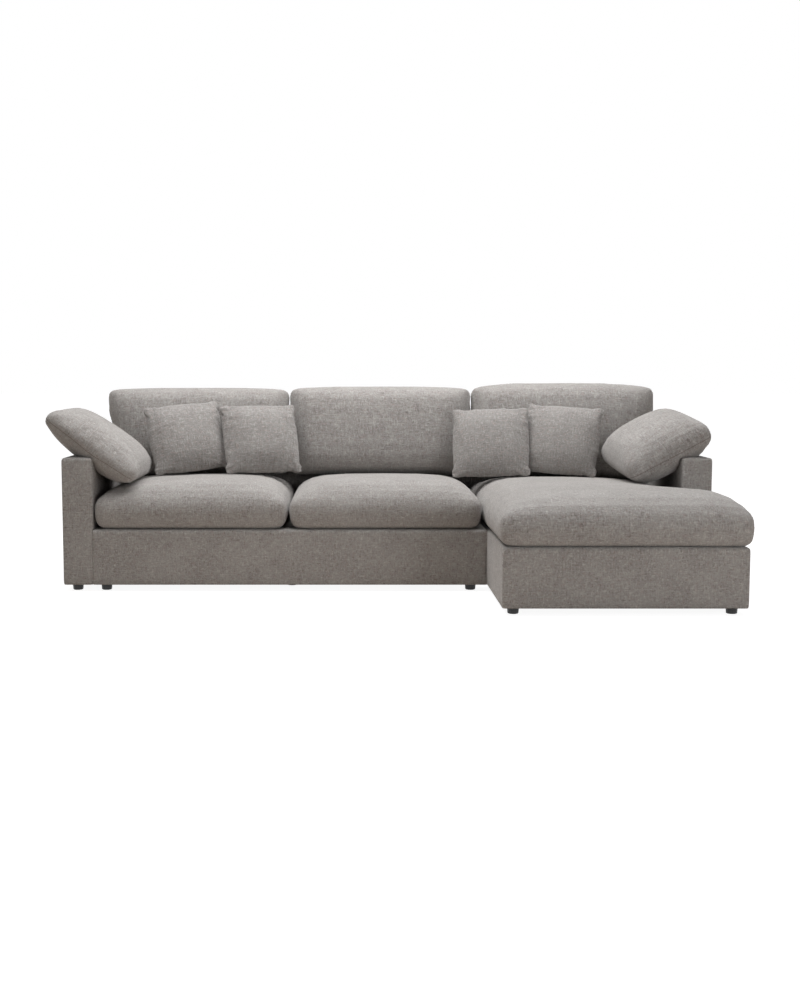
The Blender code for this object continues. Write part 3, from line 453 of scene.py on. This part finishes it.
PILLOW_PAINTED_SHADE = 0.82  # painted shade: the throw pillows' chenille is made darker than the rest of the cover
chenille, given, result = shader_group(
    "slubbed_chenille",
    [
        ("Ground", "NodeSocketColor", TAUPE),
        ("Pale Slub", "NodeSocketColor", PALE_SLUB),
        ("Dark Slub", "NodeSocketColor", DARK_SLUB),
        ("Rose Slub", "NodeSocketColor", ROSE_SLUB),
    ],
    [("Color", "NodeSocketColor"), ("Height", "NodeSocketFloat"), ("Roughness", "NodeSocketFloat")],
)
slub_scales = [[SLUBS_ALONG if axis == way else SLUBS_ACROSS for axis in range(3)] for way in range(3)]
slubs = [noise_field(chenille, scale, 3, 0.6, cloth=True) for scale in slub_scales]
pale = dark = 0.0
for field in slubs:
    pale = sums(chenille, "ADD", ramp(chenille, field, *PALE_RANGE, 0, PALE_SHARE), pale)
    dark = sums(chenille, "ADD", ramp(chenille, field, *DARK_RANGE, 0, DARK_SHARE), dark)
drift = noise_field(chenille, RUB_SCALE, 3, 0.55, cloth=True)
rosy = ramp(chenille, noise_field(chenille, ROSE_SCALE, 2, cloth=True), *ROSE_RANGE, 0, ROSE_SHARE)
ground = blended(chenille, rosy, given.outputs["Ground"], given.outputs["Rose Slub"])
ground = blended(chenille, sums(chenille, "MINIMUM", dark, 1.0), ground, given.outputs["Dark Slub"])
ground = blended(chenille, sums(chenille, "MINIMUM", pale, 1.0), ground, given.outputs["Pale Slub"])
worn = ramp(chenille, drift, *RUB_RANGE, 0, RUB_SHARE)
rubbed = blended(chenille, worn, ground, given.outputs["Pale Slub"])
# Painted shade in the seam grooves: the chenille darkens where the seam mark is high.
seam = chenille.nodes.new("ShaderNodeAttribute")
seam.attribute_name = "seam"
painted_seam_shade = ramp(chenille, seam.outputs["Fac"], SEAM_START, 1.0, 0.0, SEAM_PAINTED_SHADE)
chenille.links.new(blended(chenille, painted_seam_shade, rubbed, given.outputs["Dark Slub"]), result.inputs["Color"])
pile = noise_field(chenille, PILE_SCALE, 2, cloth=True)
woven = sums(chenille, "ADD", sums(chenille, "ADD", slubs[0], slubs[1]), slubs[2])
raised_pile = sums(chenille, "MULTIPLY", pile, PILE_HEIGHT)
chenille.links.new(sums(chenille, "ADD", woven, raised_pile), result.inputs["Height"])
chenille.links.new(ramp(chenille, pile, 0.3, 0.7, *PILE_ROUGHNESS), result.inputs["Roughness"])


def chenille_with_painted_shade(name, shade):
    """The chenille with its ground and pale slubs made darker by the shade factor, as painted shade; at one it
    is not darkened.
    """
    made, tree, shader = material(name, Sheen_Weight=0.25, Sheen_Roughness=0.5, Specular_IOR_Level=0.2)
    ground = [channel * shade for channel in TAUPE[:3]] + [1]
    pale = [channel * shade for channel in PALE_SLUB[:3]] + [1]
    fabric = placed(tree, chenille, Ground=ground, Pale_Slub=pale)
    tree.links.new(fabric.outputs["Color"], shader.inputs["Base Color"])
    tree.links.new(fabric.outputs["Roughness"], shader.inputs["Roughness"])
    bumped(tree, shader, fabric.outputs["Height"], CHENILLE_RELIEF, 0.7)
    return made


upholstery = chenille_with_painted_shade("grey_taupe_chenille", 1)
# The throw pillows get a darker copy of the chenille, as painted shade.
shaded_pillow_cloth = chenille_with_painted_shade("grey_taupe_chenille_painted_shade", PILLOW_PAINTED_SHADE)

# The platforms, arms and backs are boxed frames, padded with thin foam and wadding and covered in panels that
# are sewn at the corners, pulled down and stapled underneath. The cloth lies in faint upright pulls.
PANEL_SPACING = 0.045
PANEL_EDGE = 0.012
PANEL_PULL = 0.0014
PULL_SCALE = Vector((11, 11, 2.2))  # pulls in a metre each way
PANEL_SWELL = 0.0012
SWELL_RUN = 0.12  # how far in from an edge the padding is full
PANEL_PROUD = 0.0028
COVER_THICKNESS = 0.006
SEWN_ANGLE = radians(40)  # a sharper edge is a sewn corner, and is rounded
DECK_BORDER = 0.10


def raised(sheet, faces, height):
    """Pulls the faces up with walls under their rim, and returns the raised faces."""
    made = bmesh.ops.extrude_face_region(sheet, geom=faces)["geom"]
    verts = [item for item in made if isinstance(item, bmesh.types.BMVert)]
    bmesh.ops.translate(sheet, verts=verts, vec=(0, 0, height))
    return [item for item in made if isinstance(item, bmesh.types.BMFace)]


def walled(bm, levels, open_below=False):
    """Pulls the flat sheet up into a box with a row of cells between the levels, open or closed below."""
    top = list(bm.faces)
    for number in range(len(levels) - 1):
        lifted = raised(bm, top, levels[number + 1] - levels[number])
        if number or open_below:
            bmesh.ops.delete(bm, geom=top, context="FACES_ONLY" if number else "FACES")
        top = lifted
    bmesh.ops.recalc_face_normals(bm, faces=bm.faces)


def min_gap(co, low, high):
    """How far a point of the box's surface lies from the nearest edge of the box."""
    gaps = sorted(min(co[axis] - low[axis], high[axis] - co[axis]) for axis in (0, 1))
    rise = min(co.z, high.z - low.z - co.z)
    return max(0, sorted(gaps + [rise])[1])


def inside_border(at, low, high, notch, border):
    """Whether a point of the platform's top lies inside the covered border."""
    if not (low.x + border < at.x < high.x - border and low.y + border < at.y < high.y - border):
        return False
    return not notch or at.x < notch[0] - border or at.y < notch[1] - border


def softened(obj):
    """Rounds the cells of the cloth into each other."""
    soft = obj.modifiers.new("soft", "SUBSURF")
    soft.levels = 1
    soft.render_levels = 1


def covered_panel(place, border=None):
    """An upholstered box over its solid's outline, open below, with rounded padded edges.

    With a border, the top is open inside that width, where the platform cloth lies.
    """
    node = place + "_cover"
    low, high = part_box(node)
    notch = plan_notch(node)
    x_lines, y_lines = cell_lines(low, high, notch, PANEL_SPACING)
    if border:
        corner = notch or high
        x_lines = sorted(x_lines + [low.x + border, corner[0] - border])
        y_lines = sorted(y_lines + [low.y + border, corner[1] - border])
    bm = flat_sheet(x_lines, y_lines, notch)
    walled(bm, even_lines(0, high.z - low.z, PANEL_SPACING), open_below=True)
    bm.normal_update()
    sharp = [edge for edge in bm.edges if len(edge.link_faces) == 2 and edge.calc_face_angle() > SEWN_ANGLE]
    bmesh.ops.bevel(bm, geom=sharp, offset=PANEL_EDGE, segments=4, profile=0.5, affect="EDGES")
    if border:
        inner = [
            face
            for face in bm.faces
            if face.normal.z > 0.9 and inside_border(face.calc_center_median(), low, high, notch, border)
        ]
        bmesh.ops.delete(bm, geom=inner, context="FACES")
    bm.normal_update()
    flat_place = bm.verts.layers.float_vector.new("cloth")
    for vert in bm.verts:
        vert[flat_place] = vert.co + low
        padding = min(1, min_gap(vert.co, low, high) / SWELL_RUN)
        pull = noise.noise(vert.co * PULL_SCALE)
        vert.co += vert.normal * (PANEL_SWELL * padding + PANEL_PULL * pull * padding + PANEL_PROUD)
        vert.co.z += low.z
    cover = into_scene(place + "_upholstery", bm, upholstery)
    shell = cover.modifiers.new("cloth and wadding", "SOLIDIFY")
    shell.thickness = COVER_THICKNESS
    shell.offset = -1
    softened(cover)
    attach(cover, "frame")
    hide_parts(node)


for place in ("seat_platform", "chaise_platform"):
    covered_panel(place, DECK_BORDER)
for place in ("left_arm", "right_arm", "seat_back", "chaise_back"):
    covered_panel(place)

# The seat cushions are foam wrapped in fibre, in covers that are cut full and rounded over the front and
# ends. The fibre crowns them, and the cover puckers a little where it turns under onto the platform.
CASE_SPACING = 0.017
CORE_DEPTH = 0.11
FILLING_FRAMES = 20
CASE_PRESSING = (3, 8, 0.003)  # rounds, passes, and how proud of the solid a fold may stand
GATHER_PITCH = 0.024
GATHER_PATCHES = 9  # gathered stretches in a metre of seam
GATHER_COVER = 0.6  # above nothing, more of the seam is gathered than not
GATHER_AT_SEAM = 0.3  # share of the depth that is left at the seam itself
GATHER_VALLEY = 0.45  # how far the valleys between the folds lie under the cloth
GATHER_END = 3  # the folds are gone at this many times their reach
SEAM_CREASE = 0.6
SEAM_GROOVE = 0.0012
TOUCHING = 0.0001
SEAT_PRESSURE = 0.8
SEAT_FULLNESS = 0.016
SEAT_FOOT = 0.012  # the part that lies still on the platform
SEAT_GATHERS = (0.004, 0.035)  # their depth, and how far they run
ARM_GAP = 0.003  # between the chaise's cushion and the arm that it passes


def in_own_directions(node, turn):
    """The solid's faces in the cushion's own directions, with its lowest and highest values."""
    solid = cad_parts[node].data
    back = turn.inverted()
    corners = [back @ vert.co for vert in solid.vertices]
    columns = list(zip(*corners))
    tree = BVHTree.FromPolygons(corners, [tuple(face.vertices) for face in solid.polygons])
    return tree, Vector(map(min, columns)), Vector(map(max, columns))


def box_case(name, low, high, spacing, notch=None, seam=None, lines=even_lines, cloth=upholstery):
    """A case boxed over the outline, with the place of each point of its cloth before it is sewn and filled.

    A seam runs round it at its share of the height.
    """
    bm = flat_sheet(*cell_lines(low, high, notch, spacing, lines), notch)
    seam_height = (high.z - low.z) * (seam or 0.5)
    walled(bm, even_lines(0, seam_height, spacing)[:-1] + even_lines(seam_height, high.z - low.z, spacing))
    flat_place = bm.verts.layers.float_vector.new("cloth")
    crease = bm.edges.layers.float.new("crease_edge")
    # The seam mark tells the chenille where to paint the shade of the seam's groove.
    seam_mark = bm.verts.layers.float.new("seam")
    for edge in bm.edges:
        if seam and all(abs(vert.co.z - seam_height) < TOUCHING for vert in edge.verts):
            edge[crease] = SEAM_CREASE
            for vert in edge.verts:
                vert[seam_mark] = 1
    for vert in bm.verts:
        vert.co.z += low.z
        vert[flat_place] = vert.co
    return into_scene(name, bm, cloth)


def drawn_over(case, tree, low, high, notch=None):
    """Draws the boxed case in onto the solid, straight towards a core that lies inside it."""
    depth = min(CORE_DEPTH, (high.z - low.z) / 2 - 0.001)
    inner, outer = low + Vector((depth,) * 3), high - Vector((depth,) * 3)
    cores = [(inner, outer)]
    if notch:
        cores = [
            (inner, Vector((notch[0] - depth, outer.y, outer.z))),
            (inner, Vector((outer.x, notch[1] - depth, outer.z))),
        ]
    for vert in case.data.vertices:
        held = [
            Vector([min(max(vert.co[axis], near[axis]), far[axis]) for axis in range(3)])
            for near, far in cores
        ]
        core = min(held, key=lambda point: (point - vert.co).length)
        met = tree.ray_cast(core, (vert.co - core).normalized())[0]
        if met is not None:
            vert.co = met


def filled(case, pressure, fullness=0.0, still=None):
    """Fills the case by cloth simulation and keeps the result.

    Its cloth is cut fuller by the share, so that it buckles softly. The points listed as still don't move.
    """
    cloth = case.modifiers.new("filling", "CLOTH")
    fabric = cloth.settings
    fabric.quality = 5
    fabric.mass = 0.3
    fabric.tension_stiffness = 20
    fabric.compression_stiffness = 20
    fabric.shear_stiffness = 8
    fabric.bending_stiffness = 1.0
    fabric.air_damping = 2
    fabric.use_pressure = True
    fabric.uniform_pressure_force = pressure
    fabric.effector_weights.gravity = 0
    fabric.shrink_min = -fullness
    if still:
        case.vertex_groups.new(name="still").add(still, 1, "REPLACE")
        fabric.vertex_group_mass = "still"
    cloth.point_cache.frame_start = 1
    cloth.point_cache.frame_end = FILLING_FRAMES
    scene = bpy.context.scene
    for number in range(1, FILLING_FRAMES + 1):
        scene.frame_set(number)
    blown = case.evaluated_get(bpy.context.evaluated_depsgraph_get())
    mesh = bpy.data.meshes.new_from_object(blown)
    case.modifiers.remove(cloth)
    case.data = mesh
    scene.frame_set(1)


def pressed(case, tree, rounds, passes, proud):
    """Presses the case to the shape that its solid has.

    In each round every point is moved by the way to the solid, evened out over its neighbours so that folds
    stay. At the end no point is left prouder than given.
    """
    verts = case.data.vertices
    neighbours = [[] for _ in verts]
    for edge in case.data.edges:
        start, end = edge.vertices
        neighbours[start].append(end)
        neighbours[end].append(start)
    for _ in range(rounds):
        ways = [tree.find_nearest(vert.co)[0] - vert.co for vert in verts]
        for _ in range(passes):
            ways = [
                (way + sum((ways[other] for other in near), Vector())) / (len(near) + 1)
                for way, near in zip(ways, neighbours)
            ]
        for vert, way in zip(verts, ways):
            vert.co += way
    for vert in verts:
        nearest, normal = tree.find_nearest(vert.co)[:2]
        excess = (vert.co - nearest).dot(normal) - proud
        if excess > 0:
            vert.co -= normal * excess


def gathered(case, low, high, seam, depth, reach):
    """Gathers the cloth at the seam round the case: small folds start there and run out within the reach."""
    case.data.update()
    outward = [vert.normal.copy() for vert in case.data.vertices]
    seam_level = low.z + (high.z - low.z) * seam
    for vert, place, normal in zip(case.data.vertices, case.data.attributes["cloth"].data, outward):
        at = place.vector
        rise = abs(at.z - seam_level)
        edges = (
            (at.x - low.x, at.y),
            (high.x - at.x, at.y),
            (at.y - low.y, at.x),
            (high.y - at.y, at.x),
        )
        for number, (gap, along) in enumerate(edges):
            far = (gap + rise) / reach
            if far < GATHER_END:
                fold = abs(noise.noise(Vector((along / GATHER_PITCH, 5 * number, 0.25 * far + low.x))))
                patch = max(0, GATHER_COVER + noise.noise(Vector((along * GATHER_PATCHES, 3 * number, low.x))))
                start = min(1, GATHER_AT_SEAM + 1.6 * far)
                vert.co += normal * depth * (2 * fold - GATHER_VALLEY) * patch * start * exp(-far)
        if rise == 0 and min(gap for gap, _ in edges) < TOUCHING:
            vert.co -= normal * SEAM_GROOVE


def in_place(case, node, body, turn):
    """Turns the finished cushion to where it stands, ties it to its body and hides its solid."""
    case.data.transform(turn)
    softened(case)
    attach(case, body)
    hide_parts(node)


def seat_cushion(node, body, notch=None):
    """A seat cushion over its solid, puckered where it turns under."""
    flat = Matrix.Identity(4)
    tree, low, high = in_own_directions(node, flat)
    case = box_case(node + "_case", low, high, CASE_SPACING, notch)
    drawn_over(case, tree, low, high, notch)
    still = [vert.index for vert in case.data.vertices if vert.co.z < low.z + SEAT_FOOT]
    filled(case, SEAT_PRESSURE, SEAT_FULLNESS, still)
    pressed(case, tree, *CASE_PRESSING)
    gathered(case, low, high, 0, *SEAT_GATHERS)
    in_place(case, node, body, flat)


seat_cushion("seat_cushion_left", "left_seat")
seat_cushion("seat_cushion_centre", "centre_seat")
arm_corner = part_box("right_arm_cover")[0]
arm_notch = (arm_corner.x - ARM_GAP, arm_corner.y - ARM_GAP)
seat_cushion("chaise_cushion", "long_seat", arm_notch)

# The back cushions are loose: boxed cases blown full of fibre, which stand on the seats and lean back.
# Their corners pull up firm at the seams, and their fronts crown between them.
BACK_LEAN = radians(13)
BACK_PRESSURE = 1.2
BACK_FULLNESS = 0.02
BACK_SQUEEZE = 0.0017  # how far each side swells towards its neighbour
SQUEEZE_FROM = 1.1  # the swelling is full a little before the side itself


def upright(lean, turn=0, roll=0):
    """The directions of a cushion that stands on its edge, leaning back, then turned about the vertical."""
    return (
        Matrix.Rotation(turn, 4, "Z")
        @ Matrix.Rotation(radians(90) - lean, 4, "X")
        @ Matrix.Rotation(roll, 4, "Z")
    )


def back_cushion(node, body):
    """A full back cushion over its solid."""
    turn = upright(BACK_LEAN)
    tree, low, high = in_own_directions(node, turn)
    case = box_case(node + "_case", low, high, CASE_SPACING)
    drawn_over(case, tree, low, high)
    filled(case, BACK_PRESSURE, BACK_FULLNESS)
    pressed(case, tree, *CASE_PRESSING)
    for vert in case.data.vertices:
        share = SQUEEZE_FROM * (2 * vert.co.x - low.x - high.x) / (high.x - low.x)
        vert.co.x += BACK_SQUEEZE * max(-1, min(1, share))
    in_place(case, node, body, turn)


for place in ("left", "centre", "right"):
    back_cushion("back_cushion_" + place, place + "_back")

# Two softer cushions lean over the arms with their feet on the seats. A plain seam runs round them, nearer
# to the underside, and the cloth gathers at it.
BOLSTER_SEAM = 0.42
BOLSTER_SPACING = 0.015
BOLSTER_PRESSURE = 1.4
BOLSTER_FULLNESS = 0.012
BOLSTER_GATHERS = (0.005, 0.03)
BOLSTER_LEANS = (("left", radians(36), 0), ("right", radians(-28), radians(6)))
for side, lean, tip in BOLSTER_LEANS:
    bolster = "arm_bolster_" + side
    turn = Matrix.Rotation(lean, 4, "Y") @ Matrix.Rotation(tip, 4, "X")
    tree, low, high = in_own_directions(bolster, turn)
    case = box_case(bolster + "_case", low, high, BOLSTER_SPACING, seam=BOLSTER_SEAM)
    drawn_over(case, tree, low, high)
    filled(case, BOLSTER_PRESSURE, BOLSTER_FULLNESS)
    pressed(case, tree, *CASE_PRESSING)
    gathered(case, low, high, BOLSTER_SEAM, *BOLSTER_GATHERS)
    in_place(case, bolster, side + "_bolster", turn)

# Four throw pillows are knife-edged: two square panels sewn face to face and turned, with a feather filling.
# Their edges draw in between the corners and gather along the seam.
PILLOW_LEAN = radians(30)
PILLOW_EDGE = 0.008
PILLOW_SPACING = 0.0095
PILLOW_CROWDING = 0.75  # below one, the lines crowd towards the edges
PILLOW_PRESSURE = 1.6
PILLOW_FULLNESS = 0.025
PILLOW_PRESSING = (2, 8, 0.004)
PILLOW_SEAM = 0.5
PILLOW_GATHERS = (0.011, 0.032)
PILLOW_INSIDE = 0.998  # keeps each ray just inside the solid's outline
PILLOW_WAIST = 0.045  # share by which the filling draws the middle of each edge in
PILLOW_PLACES = (
    ("far_left", radians(15), radians(6)),
    ("left", radians(15), 0),
    ("far_right", radians(-13), radians(-4)),
    ("right", radians(-8), radians(2)),
)


def crowded_lines(low, high, spacing):
    """Lines from low to high that crowd towards both."""
    middle, half = (low + high) / 2, (high - low) / 2
    shares = [line / half - 1 for line in even_lines(0, 2 * half, spacing)]
    return [middle + half * copysign(abs(share) ** PILLOW_CROWDING, share) for share in shares]


def drawn_flat(case, tree, low, high):
    """Draws two panels that lie face to face in to the solid's outline, and apart to its faces."""
    centre, half = (low + high) / 2, (high - low) / 2
    for vert in case.data.vertices:
        side = copysign(1, vert.co.z - centre.z)
        edge = abs(vert.co.z - centre.z)
        across = Vector((vert.co.x - centre.x, vert.co.y - centre.y, 0))
        if across.length:
            outline = (tree.ray_cast(centre, across.normalized())[0] - centre).length
            share = max(abs(across.x) / half.x, abs(across.y) / half.y)
            across *= share * outline / across.length * PILLOW_INSIDE
        vert.co = centre + across
        met = tree.ray_cast(vert.co, (0, 0, side))[0]
        depth = max(edge, abs(met.z - centre.z) if met else 0) if edge else 0
        vert.co.z += side * depth


def drawn_in(case, low, high):
    """Draws the middle of each edge in, which leaves the corners standing out as ears."""
    centre, half = (low + high) / 2, (high - low) / 2
    for vert in case.data.vertices:
        across = Vector((vert.co.x - centre.x, vert.co.y - centre.y))
        along, share = sorted((abs(across.x) / half.x, abs(across.y) / half.y))
        across *= 1 - PILLOW_WAIST * (1 - along * along) * share**4
        vert.co.x, vert.co.y = centre.x + across.x, centre.y + across.y


for place, turn, roll in PILLOW_PLACES:
    pillow = "throw_pillow_" + place
    directions = upright(PILLOW_LEAN, turn, roll)
    tree, low, high = in_own_directions(pillow, directions)
    edge = Vector((0, 0, (high.z - low.z - PILLOW_EDGE) / 2))
    case = box_case(
        pillow + "_case",
        low + edge,
        high - edge,
        PILLOW_SPACING,
        seam=PILLOW_SEAM,
        lines=crowded_lines,
        cloth=shaded_pillow_cloth,
    )
    drawn_flat(case, tree, low, high)
    filled(case, PILLOW_PRESSURE, PILLOW_FULLNESS)
    pressed(case, tree, *PILLOW_PRESSING)
    drawn_in(case, low, high)
    gathered(case, low + edge, high - edge, PILLOW_SEAM, *PILLOW_GATHERS)
    in_place(case, pillow, place + "_pillow", directions)
